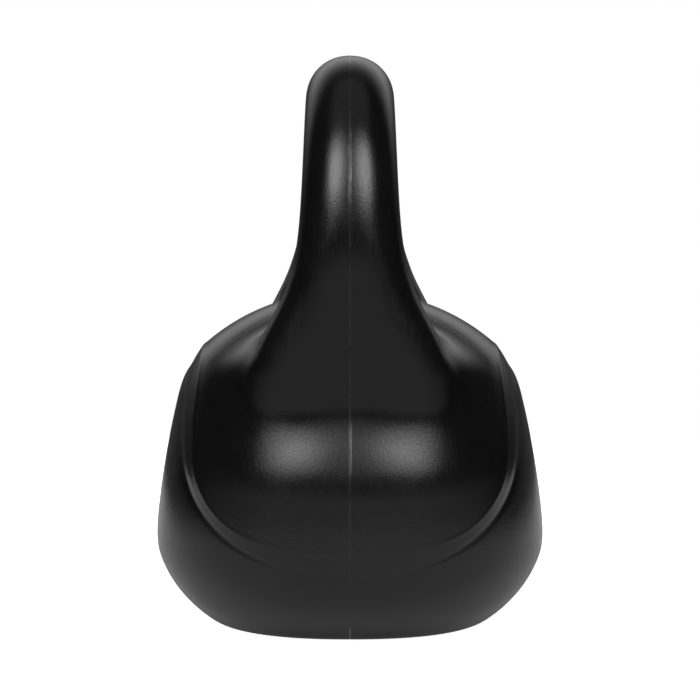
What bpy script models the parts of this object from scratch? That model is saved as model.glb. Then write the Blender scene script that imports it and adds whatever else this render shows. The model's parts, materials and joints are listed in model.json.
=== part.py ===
"""Kettlebell, side by side as it is built: two moulded half shells that meet on a seam, the cast
ballast that fills them, a steel bar bent through the handle, and a push-in plug under the base.

Metres, +Z up. The origin is the middle of the base. The grip runs along X and the seam lies in
the plane y = 0, so shell_front is on the -Y side and shell_back on the +Y side.
"""

import math

import bmesh
import bpy
import numpy as np

# Shell outside
CROWN_Z = 0.1308  # top of the body between the legs, before the raised sides are added
SINK_Z = -0.012  # where the body's outline would close below the base
CORE_Z = 0.062  # middle of the body, from which its outlines are read as radii
BOWL_DEPTH_Z = 0.044  # height of the widest point of the bowl seen from the side
BOWL_DEPTH = 0.0785
BOWL_WIDTH_Z = 0.040
BOWL_WIDTH = 0.0872
BOWL_POWER = 2.15
PANEL_LOW_Z = 0.034  # front and back panels: a shallow arc between two heights
PANEL_LOW = 0.0776
PANEL_HIGH_Z = 0.098
PANEL_HIGH = 0.0668
PANEL_BOW = 0.0015
SHOULDER_Z = 0.060  # the shoulder is an ellipse about this height
SHOULDER_DEPTH = 0.0806
BULGE_Z = 0.041
BULGE_WIDTH = 0.0880
BULGE_POWER = 2.0
PLAN_POWER = 2.3  # squareness of a level section through the body's middle
CROWN_POWER = 2.0
BASE_POWER = 1.9
EDGE_ROUND = 0.0020
BASE_ROUND = 0.0030

# Raised sides, bounded by a U seen along the grip
RAISE = 0.0013
U_MID_Z = 0.080
U_INNER = (0.0615, 0.0430, 2.7)  # half width, drop and squareness of the inner U
U_OUTER = (0.0664, 0.0507, 2.3)
U_LEAN_Z = 0.086
U_INNER_LEAN = 0.115
U_OUTER_LEAN = 0.180

# Handle, as the band between an outer outline and the window
ARCH_Z = 0.140
ARCH_POWER = 2.25
HANDLE_TOP = 0.226
HANDLE_HALF = 0.0729
WINDOW_HALF = 0.040
WINDOW_TOP = 0.192
LEG_SPLAY = 0.05
SPLAY_Z = 0.172  # height where the legs start to spread
SPLAY_SOFT = 0.030
LEG_DROP = 0.080
LEG_END_Z = 0.050
GRIP_HALF = 0.0169
FOOT_HALF = 0.0415
FOOT_Z = 0.1252  # height where the foot is half way through its spread
FOOT_RISE = 0.0104
LEG_SWELL = 0.0030
GRIP_POWER = 2.12
LEG_POWER = 2.7
ROUND_Z = 0.166  # heights between which the handle grows squarer
SQUARE_Z = 0.120
JOIN = 0.012  # width of the blend between handle and body
FACE_JOIN = 0.004  # the same at the foot of a leg's outer face
FACE_LOW_Z = 0.094
FACE_HIGH_Z = 0.110

# Walls and fits
WALL = 0.0030
FLOOR_WALL = 0.0040
SEAM_GAP = 0.0003
BALLAST_GAP = 0.0005

# Section fan about the window
FAN_Z = 0.160
SPINE_NEAR = 0.053
SPINE_FAR = 0.051
SPINE_TURN = math.radians(52)
REACH = 0.135
FAN_STEPS = 30  # sections from the middle of the base to the middle of the grip
LOOP_STEPS = 15  # points from the outer seam to the window seam
MARCH_STEPS = 28
HALVINGS = 22

# Base recess, fill hole and plug
RECESS_RADIUS = 0.0220
RECESS_DEPTH = 0.0016
HOLE_RADIUS = 0.0120
PLUG_FLANGE = 0.0210
PLUG_FLANGE_THICK = 0.0012
PLUG_STEM = 0.0113
PLUG_BARB = 0.0117
PLUG_TOP = 0.0110
PLUG_CUP = 0.0085
PLUG_CUP_DEPTH = 0.0075
POCKET_RADIUS = 0.0135
POCKET_TOP = 0.0150

# Handle bar
BAR_RADIUS = 0.0050
BAR_CLEAR = 0.0004
BAR_FOOT_X = 0.046
BAR_FOOT_Z = 0.0050
BAR_HALF = 0.0555  # half width of the bar's arch, which starts at ARCH_Z
BAR_TOP_Z = 0.209
BAR_STEPS = 18

COLLECTION = "kettlebell"


def clear_scene():
    for item in list(bpy.data.objects):
        bpy.data.objects.remove(item, do_unlink=True)


def add_collection(name):
    group = bpy.data.collections.new(name)
    bpy.context.scene.collection.children.link(group)
    return group


def material(name, colour, roughness, metallic):
    made = bpy.data.materials.new(name)
    made.use_nodes = True
    shader = made.node_tree.nodes["Principled BSDF"]
    shader.inputs["Base Color"].default_value = (*colour, 1.0)
    shader.inputs["Roughness"].default_value = roughness
    shader.inputs["Metallic"].default_value = metallic
    return made


# ---------------------------------------------------------------- the outside shape


def smooth_min(a, b, width):
    """The lower of two values, blended over a width."""
    share = np.clip(0.5 + 0.5 * (b - a) / width, 0.0, 1.0)
    return b + (a - b) * share - width * share * (1.0 - share)


def smooth_max(a, b, width):
    return -smooth_min(-a, -b, width)


def arc(part, power):
    """Half width of a superellipse of unit size at a given part of its height."""
    inside = 1.0 - np.clip(np.abs(part), 0.0, 1.0) ** power
    return inside ** (1.0 / power)


def bowl(z, mid_z, half):
    """Lower body: a superellipse that closes at SINK_Z and is straight above its middle."""
    return half * arc(np.clip(mid_z - z, 0.0, None) / (mid_z - SINK_Z), BOWL_POWER)


def half_depth(z):
    """Half depth of the body at height z, at x = 0: bowl, panel and shoulder."""
    middle = 0.5 * (PANEL_LOW_Z + PANEL_HIGH_Z)
    reach = 0.5 * (PANEL_HIGH_Z - PANEL_LOW_Z)
    along = (z - middle) / reach
    straight = 0.5 * (PANEL_LOW + PANEL_HIGH) - 0.5 * (PANEL_LOW - PANEL_HIGH) * along
    panel = straight + PANEL_BOW * (1.0 - along**2)
    rise = np.clip(z - SHOULDER_Z, 0.0, None) / (CROWN_Z - SHOULDER_Z)
    shoulder = SHOULDER_DEPTH * arc(rise, 2.0)
    low = smooth_min(bowl(z, BOWL_DEPTH_Z, BOWL_DEPTH), panel, EDGE_ROUND)
    return np.clip(smooth_min(low, shoulder, 2.0 * EDGE_ROUND), 0.0, None)


def half_width(z):
    """Half width of the body at height z, at y = 0: bowl and side bulge."""
    rise = np.clip(z - BULGE_Z, 0.0, None) / (CROWN_Z - BULGE_Z)
    bulge = BULGE_WIDTH * arc(rise, BULGE_POWER)
    low = bowl(z, BOWL_WIDTH_Z, BOWL_WIDTH)
    return np.clip(smooth_min(low, bulge, 2.0 * EDGE_ROUND), 0.0, None)


def polar_outline(half):
    """An outline, given as half sizes by height, as radii by elevation about CORE_Z."""
    turn = np.linspace(0.0, math.pi, 600)
    z = SINK_Z + (CROWN_Z - SINK_Z) * 0.5 * (1.0 - np.cos(turn))
    size = half(z)
    size[0] = 0.0
    size[-1] = 0.0
    rise = z - CORE_Z
    return np.arctan2(rise, size), np.hypot(size, rise)


DEPTH_OUTLINE = polar_outline(half_depth)
WIDTH_OUTLINE = polar_outline(half_width)


def u_distance(y, z, outline, lean):
    """Distance outside a U: a half superellipse below U_MID_Z, sides leaning in above."""
    half, drop, power = outline
    side = half - lean * np.clip(z - U_LEAN_Z, 0.0, None)
    fall = np.clip(U_MID_Z - z, 0.0, None)
    scaled = ((y / side) ** power + (fall / drop) ** power) ** (1.0 / power)
    reach = np.hypot(y, fall)
    return (scaled - 1.0) * reach / np.maximum(scaled, 1e-6)


def raised(y, z):
    """How far the sides stand proud: RAISE inside the inner U, none outside the outer."""
    y = np.maximum(y, 1e-5)
    inner = u_distance(y, z, U_INNER, U_INNER_LEAN)
    outer = u_distance(y, z, U_OUTER, U_OUTER_LEAN)
    return RAISE * np.clip(-outer / np.maximum(inner - outer, 1e-6), 0.0, 1.0)


def body_field(x, y, z):
    """Negative inside the body: distance from its middle, less its radius that way."""
    rise = z - CORE_Z
    flat = np.hypot(x, y)
    far = np.hypot(flat, rise)
    elevation = np.arctan2(rise, flat)
    deep = np.interp(elevation, *DEPTH_OUTLINE)
    wide = np.interp(elevation, *WIDTH_OUTLINE)
    ends = np.where(rise > 0.0, CROWN_POWER, BASE_POWER)
    power = PLAN_POWER + (ends - PLAN_POWER) * np.sin(elevation) ** 2
    aside = np.arctan2(np.abs(y), np.abs(x))
    across = (np.cos(aside) / wide) ** power + (np.sin(aside) / deep) ** power
    return far - across ** (-1.0 / power) - raised(np.abs(y), z)


def outline_distance(x, rise, half, height):
    """Distance outside an arch: a superellipse above ARCH_Z, straight sides below it."""
    scaled = ((x / half) ** ARCH_POWER + (rise / height) ** ARCH_POWER) ** (1.0 / ARCH_POWER)
    return (scaled - 1.0) * np.hypot(x, rise) / scaled


def handle_half(z):
    """Half depth of the handle at height z: even at the grip, flared at the foot."""
    spread = 1.0 / (1.0 + np.exp((z - FOOT_Z) / FOOT_RISE))
    swell = LEG_SWELL * np.clip((HANDLE_TOP - z) / (HANDLE_TOP - ARCH_Z), 0.0, 1.0)
    return GRIP_HALF + swell + (FOOT_HALF - GRIP_HALF - LEG_SWELL) * spread


def handle_field(x, y, z):
    """Negative inside the handle: a superellipse between the outer outline and the window."""
    x = np.maximum(np.abs(x), 1e-6)
    rise = np.clip(z - ARCH_Z, 0.0, None)
    below = smooth_max(SPLAY_Z - z, np.zeros_like(z), SPLAY_SOFT)
    half = HANDLE_HALF + LEG_SPLAY * np.minimum(below, LEG_DROP)
    outer = outline_distance(x, rise, half, HANDLE_TOP - ARCH_Z)
    inner = outline_distance(x, rise, WINDOW_HALF, WINDOW_TOP - ARCH_Z)
    across = (inner + outer) / np.maximum(inner - outer, 1e-6)
    leg = np.clip((ROUND_Z - z) / (ROUND_Z - SQUARE_Z), 0.0, 1.0)
    power = GRIP_POWER + (LEG_POWER - GRIP_POWER) * leg * leg * (3.0 - 2.0 * leg)
    ring = (np.abs(across) ** power + (np.abs(y) / handle_half(z)) ** power) ** (1.0 / power)
    return np.maximum((ring - 1.0) * GRIP_HALF, LEG_END_Z - z)


def shape_field(x, y, z, inset):
    """Negative inside the kettlebell, taken in all round by an inset."""
    high = np.clip((z - FACE_LOW_Z) / (FACE_HIGH_Z - FACE_LOW_Z), 0.0, 1.0)
    width = FACE_JOIN + (JOIN - FACE_JOIN) * high * high * (3.0 - 2.0 * high)
    joined = smooth_min(body_field(x, y, z), handle_field(x, y, z), width)
    floor = inset * FLOOR_WALL / WALL
    return smooth_max(joined + inset, floor - z, BASE_ROUND)


# ---------------------------------------------------------------- sections round the window


def spine_reach(turn):
    """Distance from the middle of the fan to the middle of the section at an angle."""
    return SPINE_NEAR + SPINE_FAR * np.exp(-((turn / SPINE_TURN) ** 3))


def section_points(turn, angle, reach):
    """Points at a reach along rays from the spine: turn round the window, angle round it."""
    out = spine_reach(turn) + reach * np.cos(angle)
    return np.sin(turn) * out, reach * np.sin(angle), FAN_Z - np.cos(turn) * out


def solve_reach(turn, angle, inset):
    """The first crossing of the surface on each ray: even steps, then halving."""
    inward = np.maximum(-np.cos(angle), 1e-6)
    limit = np.minimum(REACH, 0.985 * spine_reach(turn) / inward)
    found = limit.copy()
    open_ray = np.ones(limit.shape, bool)
    for step in range(1, MARCH_STEPS + 1):
        reach = limit * step / MARCH_STEPS
        outside = shape_field(*section_points(turn, angle, reach), inset) > 0.0
        first = outside & open_ray
        found[first] = reach[first]
        open_ray &= ~outside
    low = found - limit / MARCH_STEPS
    high = found
    for _ in range(HALVINGS):
        middle = 0.5 * (low + high)
        outside = shape_field(*section_points(turn, angle, middle), inset) > 0.0
        high = np.where(outside, middle, high)
        low = np.where(outside, low, middle)
    return 0.5 * (low + high)


def even_turns(count):
    """Section angles spaced evenly by the mean length of three lines along the shape."""
    turn = np.linspace(0.0, math.pi, 181)
    length = np.zeros(turn.size)
    for side in (0.0, 0.5 * math.pi, math.pi):
        angle = np.full(turn.size, side)
        line = np.array(section_points(turn, angle, solve_reach(turn, angle, 0.0)))
        length[1:] += np.cumsum(np.linalg.norm(np.diff(line), axis=0))
    return np.interp(np.linspace(0.0, length[-1], count + 1), length, turn)


def even_rays(turns, count):
    """Section and ray angles whose points are spaced evenly from outer seam to window."""
    fine = np.linspace(0.0, math.pi, 6 * count + 1)
    turn, angle = np.meshgrid(turns, fine, indexing="ij")
    points = np.array(section_points(turn, angle, solve_reach(turn, angle, 0.0)))
    step = np.linalg.norm(np.diff(points, axis=2), axis=0)
    length = np.concatenate([np.zeros((turns.size, 1)), np.cumsum(step, axis=1)], axis=1)
    even = [np.interp(np.linspace(0.0, row[-1], count + 1), row, fine) for row in length]
    return np.repeat(turns[:, None], count + 1, axis=1), np.array(even)


def section_grid(rays, inset):
    """Grid of points on one half of the shape, sections by rows, flat on x = 0 and y = 0."""
    x, y, z = section_points(*rays, solve_reach(*rays, inset))
    x[[0, -1]] = 0.0
    y[:, [0, -1]] = 0.0
    return np.stack([x, y, z], axis=-1)


def loft(name, loops, outward_steps, group, skin):
    """A solid lofted through closed loops and mirrored in X, its end loops at x = 0.

    The first outward_steps columns run from the outer seam to the window and the rest run
    back, and the diagonals follow, so that skins laid over each other have matching facets.
    """
    rows, across, _ = loops.shape
    index = np.arange(rows * across).reshape(rows, across)
    beside = np.roll(index, -1, axis=1)
    a, b, c, d = index[:-1], beside[:-1], beside[1:], index[1:]
    back = np.broadcast_to(np.arange(across) >= outward_steps, a.shape)
    first = np.stack([a, b, np.where(back, d, c)], axis=-1)
    second = np.stack([np.where(back, b, a), c, d], axis=-1)
    faces = np.concatenate([first, second]).reshape(-1, 3)
    mesh = bpy.data.meshes.new(name)
    mesh.from_pydata(loops.reshape(-1, 3).tolist(), [], faces.tolist())
    mesh.materials.append(skin)
    body = bpy.data.objects.new(name, mesh)
    group.objects.link(body)
    mirror = body.modifiers.new("mirror", "MIRROR")
    mirror.use_axis = (True, False, False)
    mirror.merge_threshold = 0.00001
    return body


def face_outwards(body):
    """Turn the half mesh's faces outwards, judged on its closed, mirrored form."""
    evaluated = body.evaluated_get(bpy.context.evaluated_depsgraph_get())
    whole = evaluated.to_mesh()
    check = bmesh.new()
    check.from_mesh(whole)
    inside_out = check.calc_volume(signed=True) < 0.0
    check.free()
    evaluated.to_mesh_clear()
    if inside_out:
        body.data.flip_normals()
    body.data.shade_smooth()
    body.data.set_sharp_from_angle(angle=math.radians(40))


# ---------------------------------------------------------------- the parts


def add_half_shell(name, side, rays, group, skin):
    """One half shell: outside skin, then back along the inside skin, as one closed loop."""
    outside = section_grid(rays, 0.0)
    inside = section_grid(rays, WALL)
    loops = np.concatenate([outside, inside[:, ::-1]], axis=1)
    loops[:, :, 1] = side * (loops[:, :, 1] + 0.5 * SEAM_GAP)
    shell = loft(name, loops, LOOP_STEPS + 1, group, skin)
    face_outwards(shell)
    return shell


def add_ballast(rays, group, skin):
    """The cast filling: the inside of the shell, taken in by the fit gap."""
    half = section_grid(rays, WALL + BALLAST_GAP)
    other = half[:, -2:0:-1] * np.array([1.0, -1.0, 1.0])
    loops = np.concatenate([half, other], axis=1)
    ballast = loft("ballast_core", loops, LOOP_STEPS, group, skin)
    face_outwards(ballast)
    return ballast


def bar_path(foot_z):
    """Route of the bar: straight legs down to a height, and the handle's arch above them."""
    sweep = np.linspace(0.0, math.pi, BAR_STEPS + 1)
    power = 2.0 / ARCH_POWER
    x = BAR_HALF * np.sign(np.cos(sweep)) * np.abs(np.cos(sweep)) ** power
    z = ARCH_Z + (BAR_TOP_Z - ARCH_Z) * np.sin(sweep) ** power
    arch = np.stack([x, np.zeros_like(x), z], axis=1)
    slope = (BAR_HALF - BAR_FOOT_X) / (ARCH_Z - BAR_FOOT_Z)
    foot_x = BAR_FOOT_X - slope * (BAR_FOOT_Z - foot_z)
    right = np.array([[foot_x, 0.0, foot_z]])
    left = right * np.array([-1.0, 1.0, 1.0])
    return np.concatenate([right, arch, left])


def add_bar(name, radius, foot_z, group, skin):
    """A round bar along the route, made a mesh so that it can be cut with."""
    points = bar_path(foot_z)
    curve = bpy.data.curves.new(name, "CURVE")
    curve.dimensions = "3D"
    curve.bevel_depth = radius
    curve.bevel_resolution = 2
    curve.use_fill_caps = True
    spline = curve.splines.new("POLY")
    spline.points.add(len(points) - 1)
    spline.points.foreach_set("co", np.column_stack([points, np.ones(len(points))]).ravel())
    route = bpy.data.objects.new(name + "_route", curve)
    group.objects.link(route)
    graph = bpy.context.evaluated_depsgraph_get()
    mesh = bpy.data.meshes.new_from_object(route.evaluated_get(graph))
    tidy = bmesh.new()
    tidy.from_mesh(mesh)
    bmesh.ops.remove_doubles(tidy, verts=tidy.verts, dist=0.00001)
    tidy.to_mesh(mesh)
    tidy.free()
    mesh.name = name
    mesh.materials.clear()
    mesh.materials.append(skin)
    mesh.shade_smooth()
    bar = bpy.data.objects.new(name, mesh)
    bar.matrix_world = route.matrix_world
    group.objects.link(bar)
    bpy.data.objects.remove(route, do_unlink=True)
    return bar


def add_cylinder(name, radius, low, high, group):
    """An upright cylinder about the Z axis between two heights."""
    mesh = bpy.data.meshes.new(name)
    build = bmesh.new()
    bmesh.ops.create_cone(
        build, cap_ends=True, segments=48, radius1=radius, radius2=radius, depth=high - low
    )
    bmesh.ops.translate(build, verts=build.verts, vec=(0.0, 0.0, 0.5 * (low + high)))
    build.to_mesh(mesh)
    build.free()
    cylinder = bpy.data.objects.new(name, mesh)
    group.objects.link(cylinder)
    return cylinder


def as_cutter(body):
    body.hide_render = True
    body.display_type = "WIRE"
    return body


def cut(body, cutter):
    boolean = body.modifiers.new("cut_" + cutter.name, "BOOLEAN")
    boolean.operation = "DIFFERENCE"
    boolean.solver = "EXACT"
    boolean.object = cutter


def add_plug(group, skin):
    """The plug: a turned profile with a flange, a barbed stem and a cup pushed in from below."""
    top = PLUG_TOP
    under = RECESS_DEPTH - PLUG_FLANGE_THICK - 0.0003
    over = under + PLUG_FLANGE_THICK
    profile = [
        (0.0, top),
        (PLUG_STEM - 0.001, top),
        (PLUG_STEM, top - 0.001),
        (PLUG_STEM, top - 0.003),
        (PLUG_BARB, top - 0.004),
        (PLUG_STEM, top - 0.0055),
        (PLUG_STEM, over),
        (PLUG_FLANGE, over),
        (PLUG_FLANGE, under),
        (PLUG_CUP, under),
        (PLUG_CUP - 0.001, under + PLUG_CUP_DEPTH),
        (0.0, under + PLUG_CUP_DEPTH),
    ]
    mesh = bpy.data.meshes.new("fill_plug")
    edges = [(i, i + 1) for i in range(len(profile) - 1)]
    mesh.from_pydata([(x, 0.0, z) for x, z in profile], edges, [])
    mesh.materials.append(skin)
    plug = bpy.data.objects.new("fill_plug", mesh)
    group.objects.link(plug)
    screw = plug.modifiers.new("turn", "SCREW")
    screw.steps = 36
    screw.render_steps = 36
    screw.use_merge_vertices = True
    screw.merge_threshold = 0.00001
    screw.use_smooth_shade = False
    return plug


def main():
    clear_scene()
    parts = add_collection(COLLECTION)
    cutters = add_collection(COLLECTION + "_cutters")
    plastic = material("black_plastic", (0.004, 0.004, 0.004), 0.32, 0.0)
    cement = material("cast_ballast", (0.30, 0.29, 0.27), 0.90, 0.0)
    steel = material("bar_steel", (0.45, 0.44, 0.43), 0.45, 0.9)
    plug_plastic = material("plug_plastic", (0.020, 0.020, 0.021), 0.50, 0.0)

    recess = as_cutter(add_cylinder("base_recess", RECESS_RADIUS, -0.01, RECESS_DEPTH, cutters))
    hole = as_cutter(add_cylinder("fill_hole", HOLE_RADIUS, -0.01, 0.012, cutters))
    pocket = as_cutter(add_cylinder("plug_pocket", POCKET_RADIUS, -0.01, POCKET_TOP, cutters))
    way = as_cutter(add_bar("bar_way", BAR_RADIUS + BAR_CLEAR, -0.002, cutters, steel))

    rays = even_rays(even_turns(FAN_STEPS), LOOP_STEPS)
    for name, side in (("shell_front", -1.0), ("shell_back", 1.0)):
        shell = add_half_shell(name, side, rays, parts, plastic)
        cut(shell, recess)
        cut(shell, hole)
    ballast = add_ballast(rays, parts, cement)
    cut(ballast, pocket)
    cut(ballast, way)
    add_bar("handle_bar", BAR_RADIUS, BAR_FOOT_Z, parts, steel)
    add_plug(parts, plug_plastic)


main()
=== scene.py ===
"""Looks of a kettlebell: a black moulded shell in two halves, the ballast cast inside it, the
bar bent through its handle, and the plug pushed in under its base.

Metres, +Z up. The origin is the middle of the base, the grip runs along X and the two halves
meet in the plane y = 0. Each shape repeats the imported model's own rule on a finer grid.
"""

import json
import math

import bmesh
import bpy
import numpy as np
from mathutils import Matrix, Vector


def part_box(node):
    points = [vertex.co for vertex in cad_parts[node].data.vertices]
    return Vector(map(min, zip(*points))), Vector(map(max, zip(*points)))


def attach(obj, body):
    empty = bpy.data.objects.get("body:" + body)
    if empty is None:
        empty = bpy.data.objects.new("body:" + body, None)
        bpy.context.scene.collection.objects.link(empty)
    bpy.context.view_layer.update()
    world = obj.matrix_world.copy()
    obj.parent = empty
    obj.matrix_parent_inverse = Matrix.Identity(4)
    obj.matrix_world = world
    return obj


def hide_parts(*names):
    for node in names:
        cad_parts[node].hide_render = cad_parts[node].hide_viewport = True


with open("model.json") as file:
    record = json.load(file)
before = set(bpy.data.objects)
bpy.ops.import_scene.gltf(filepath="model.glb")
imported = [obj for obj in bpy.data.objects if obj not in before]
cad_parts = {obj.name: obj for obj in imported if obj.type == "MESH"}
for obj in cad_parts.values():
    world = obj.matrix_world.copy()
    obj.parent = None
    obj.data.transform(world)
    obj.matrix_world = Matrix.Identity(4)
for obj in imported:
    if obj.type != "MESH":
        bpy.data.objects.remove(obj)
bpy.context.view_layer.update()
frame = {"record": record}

bl_info = {
    "name": "Moulded kettlebell",
    "version": (1, 0, 0),
    "blender": (4, 5, 0),
    "location": "View3D > Sidebar > Kettlebell",
    "description": "Shapes and finishes of a kettlebell with a moulded shell and a cast filling",
    "category": "Add Mesh",
}

BODY = "root"

# Body of the shell
CROWN_Z = 0.1308  # top of the body between the legs
SINK_Z = -0.012  # where the body's outline would close below the base
CORE_Z = 0.062  # middle of the body, from which its outlines are read as radii
BOWL_DEPTH_Z = 0.044
BOWL_DEPTH = 0.0785
BOWL_WIDTH_Z = 0.040
BOWL_WIDTH = 0.0872
BOWL_POWER = 2.15
PANEL_LOW_Z = 0.034
PANEL_LOW = 0.0776
PANEL_HIGH_Z = 0.098
PANEL_HIGH = 0.0668
PANEL_BOW = 0.0015
SHOULDER_Z = 0.060
SHOULDER_DEPTH = 0.0806
BULGE_Z = 0.041
BULGE_WIDTH = 0.0880
BULGE_POWER = 2.0
PLAN_POWER = 2.3
CROWN_POWER = 2.0
BASE_POWER = 1.9
EDGE_ROUND = 0.0020
BASE_ROUND = 0.0030

# Raised sides, bounded by a U seen along the grip: half width, drop, squareness
RAISE = 0.0013
U_MID_Z = 0.080
U_INNER = (0.0615, 0.0430, 2.7)
U_OUTER = (0.0664, 0.0507, 2.3)
U_LEAN_Z = 0.086
U_INNER_LEAN = 0.115
U_OUTER_LEAN = 0.180
CREASE_SOFT = 0.30  # rounding at the outer line of the ramp, as a share of the ramp
EDGE_SOFT = 0.15  # rounding at its inner line
BEAD = 0.00016  # fine bead along the inner line
BEAD_WIDTH = 0.0009
GROOVE = 0.00034  # soft groove along the outer line
GROOVE_WIDTH = 0.0011

# Handle
ARCH_Z = 0.140
ARCH_POWER = 2.25
HANDLE_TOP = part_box("shell_front")[1].z
HANDLE_HALF = 0.0729
WINDOW_HALF = 0.040
WINDOW_TOP = 0.192
LEG_SPLAY = 0.05
SPLAY_Z = 0.172  # height where the legs start to spread
SPLAY_SOFT = 0.030  # width of the blend where they start
LEG_DROP = 0.080
LEG_END_Z = 0.050
GRIP_HALF = 0.0169
FOOT_HALF = 0.0415
FOOT_Z = 0.1252
FOOT_RISE = 0.0104
LEG_SWELL = 0.0030
GRIP_POWER = 2.12
LEG_POWER = 2.7
ROUND_Z = 0.166  # heights between which the handle grows squarer
SQUARE_Z = 0.120
JOIN = 0.012  # width of the blend between handle and body
FACE_JOIN = 0.004  # the same at the foot of a leg's outer face
FACE_LOW_Z = 0.094
FACE_HIGH_Z = 0.110

# Sections round the window, and how close their points lie
FAN_Z = 0.160
SPINE_NEAR = 0.053
SPINE_FAR = 0.051
SPINE_TURN = math.radians(52)
REACH = 0.135
MARCH_STEPS = 28
HALVINGS = 22
SECTIONS = 236  # from the middle of the base to the middle of the grip
OUTSIDE_STEPS = 128  # from the outer seam to the window seam
INSIDE_STEPS = 34
FILL_SECTIONS = 90
FILL_STEPS = 34
SEAM_REACH = 0.0016  # points crowd this near the seam and the raised sides' edge
SEAM_CROWD = 5.0
RIM_REACH = 0.0026
RIM_CROWD = 4.0

# Bar through the handle
BAR_FOOT_X = 0.046
BAR_FOOT_Z = 0.0050
BAR_HALF = 0.0555
BAR_TOP_Z = 0.209
BAR_STEPS = 420
BAR_SIDES = 28
RIB_PITCH = 0.0066
RIB_SLANT = 1.6
RIB_WIDTH = 0.16  # half width of a lengthwise rib, as the sine of a bearing

# Turned details
TURNED_SIDES = 96
POCKET_SIDES = 64
CHAMFER = 0.0004

# Finishes: noise scales are in cells per metre
GRAIN_SCALE = 1250.0
STREAK_STRETCH = 0.10
CLOUD_SCALE = 42.0
SPECKLE_SCALE = 700.0
SPECKLE_SHARE = 0.42
SCUFF_SCALE = 260.0
BREAK_SCALE = 170.0
SHELL_STREAKS = 0.45  # share of upright streaks in the shell's grain
SHELL_HIGHLIGHT_REACH = 0.0005  # how far the painted seam highlight, a paler line, reaches from the seam
# the same painted seam highlight on the plug, kept very narrow
PLUG_HIGHLIGHT_REACH = 0.00001
PLUG_ROUGHNESS = 0.46
# paler colour painted along the seam as a highlight on the moulding flash
SEAM_HIGHLIGHT_COLOUR = (0.026, 0.026, 0.026)
ROUGHNESS_SPREAD = 0.05
RUB_ROUGHNESS = 0.12
PLASTIC_IOR = 1.47
GRAIN_STRENGTH = 0.95
RUST = (0.17, 0.075, 0.035)

# Studio
WHITE = (1.0, 1.0, 1.0, 1.0)
SOFTBOX_FAR = 1.5
SOFTBOX_SIZE = 0.62
FLOOR_RINGS = 40
FLOOR_SIDES = 96
FLOOR_GLOW = (0.10, 1.0)  # the floor's own light, to other rays and to the camera
GLOWS = (  # X from and to, Z from and to, strength, and Z from and to with the shares there
    ((-0.25, 0.80), (0.13, 0.17), 0.49, (-0.03, 0.02, 0.50, 1.0)),  # in front
    ((-0.55, -0.90), (0.45, 0.85), 0.68, (0.06, 0.28, 0.10, 1.0)),  # behind
)
PATCHES = (  # turn from the view, elevation, inner and outer radius in degrees, and strength
    (-35.0, 42.0, 7.0, 25.0, 3.5),
    (35.0, 42.0, 7.0, 25.0, 3.5),
    (0.0, 42.0, 6.0, 28.0, 0.55),
    (0.0, 90.0, 20.0, 40.0, 0.22),
)


def record_colour(slot):
    """The record's base colour for a material slot."""
    listed = {entry["slot"]: entry["base_color"] for entry in frame["record"]["materials"]}
    return tuple(listed[slot])


def length_setting(name, description, default, **more):
    """A setting that holds a length."""
    return bpy.props.FloatProperty(
        name=name, description=description, default=default, unit="LENGTH", **more
    )


def angle_setting(name, description, degrees):
    """A setting that holds an angle."""
    return bpy.props.FloatProperty(
        name=name, description=description, default=math.radians(degrees), subtype="ANGLE"
    )


def colour_setting(name, description, default):
    """A setting that holds a colour."""
    return bpy.props.FloatVectorProperty(
        name=name, description=description, default=default, subtype="COLOR", size=3,
        min=0.0, max=1.0,
    )


class ShellSettings(bpy.types.PropertyGroup):
    """Sizes and finish of the two moulded halves."""

    wall: length_setting("Wall", "Wall thickness of the shell", 0.0030)
    floor_wall: length_setting("Floor wall", "Wall thickness of the base", 0.0040)
    seam_gap: length_setting("Seam gap", "Hairline left between the halves", 0.00003)
    lip_height: length_setting(
        "Lip height", "How far the moulding flash stands up at the seam", 0.00009
    )
    lip_width: length_setting("Lip width", "Half width of the moulding flash", 0.00042)
    recess_radius: length_setting(
        "Recess radius", "Radius of the recess under the base", 0.0220
    )
    recess_depth: length_setting("Recess depth", "Depth of the recess under the base", 0.0016)
    hole_radius: length_setting(
        "Fill hole radius", "Radius of the hole that the ballast goes in by", 0.0120
    )
    colour: colour_setting(
        "Plastic colour", "Colour of the moulded plastic", (0.0040, 0.0040, 0.0040)
    )
    roughness: bpy.props.FloatProperty(
        name="Roughness", description="Middle roughness of the satin plastic", default=0.21,
        subtype="FACTOR", min=0.0, max=1.0,
    )
    grain: length_setting(
        "Grain depth", "Depth of the plastic's moulded grain", 0.00008, precision=6
    )


class FillingSettings(bpy.types.PropertyGroup):
    """Sizes and finish of what the shell holds: ballast, bar and plug."""

    ballast_gap: length_setting("Ballast gap", "Gap between ballast and shell", 0.0005)
    ballast_colour: colour_setting(
        "Ballast colour", "Colour of the cast ballast", record_colour("ballast")
    )
    pocket_radius: length_setting(
        "Pocket radius", "Pocket in the ballast over the plug", 0.0135
    )
    pocket_top: length_setting("Pocket top", "Height that the pocket reaches", 0.0150)
    bar_radius: length_setting("Bar radius", "Radius of the bar over its ribs", 0.0050)
    bar_clear: length_setting("Bar clearance", "Gap round the bar in the ballast", 0.0004)
    bar_rib: length_setting("Rib height", "Height of the bar's rolled ribs", 0.00035)
    bar_colour: colour_setting(
        "Bar colour", "Colour of the steel bar", record_colour("bar_steel")
    )
    plug_colour: colour_setting(
        "Plug colour", "Colour of the push-in plug", record_colour("plug_plastic")
    )


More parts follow.
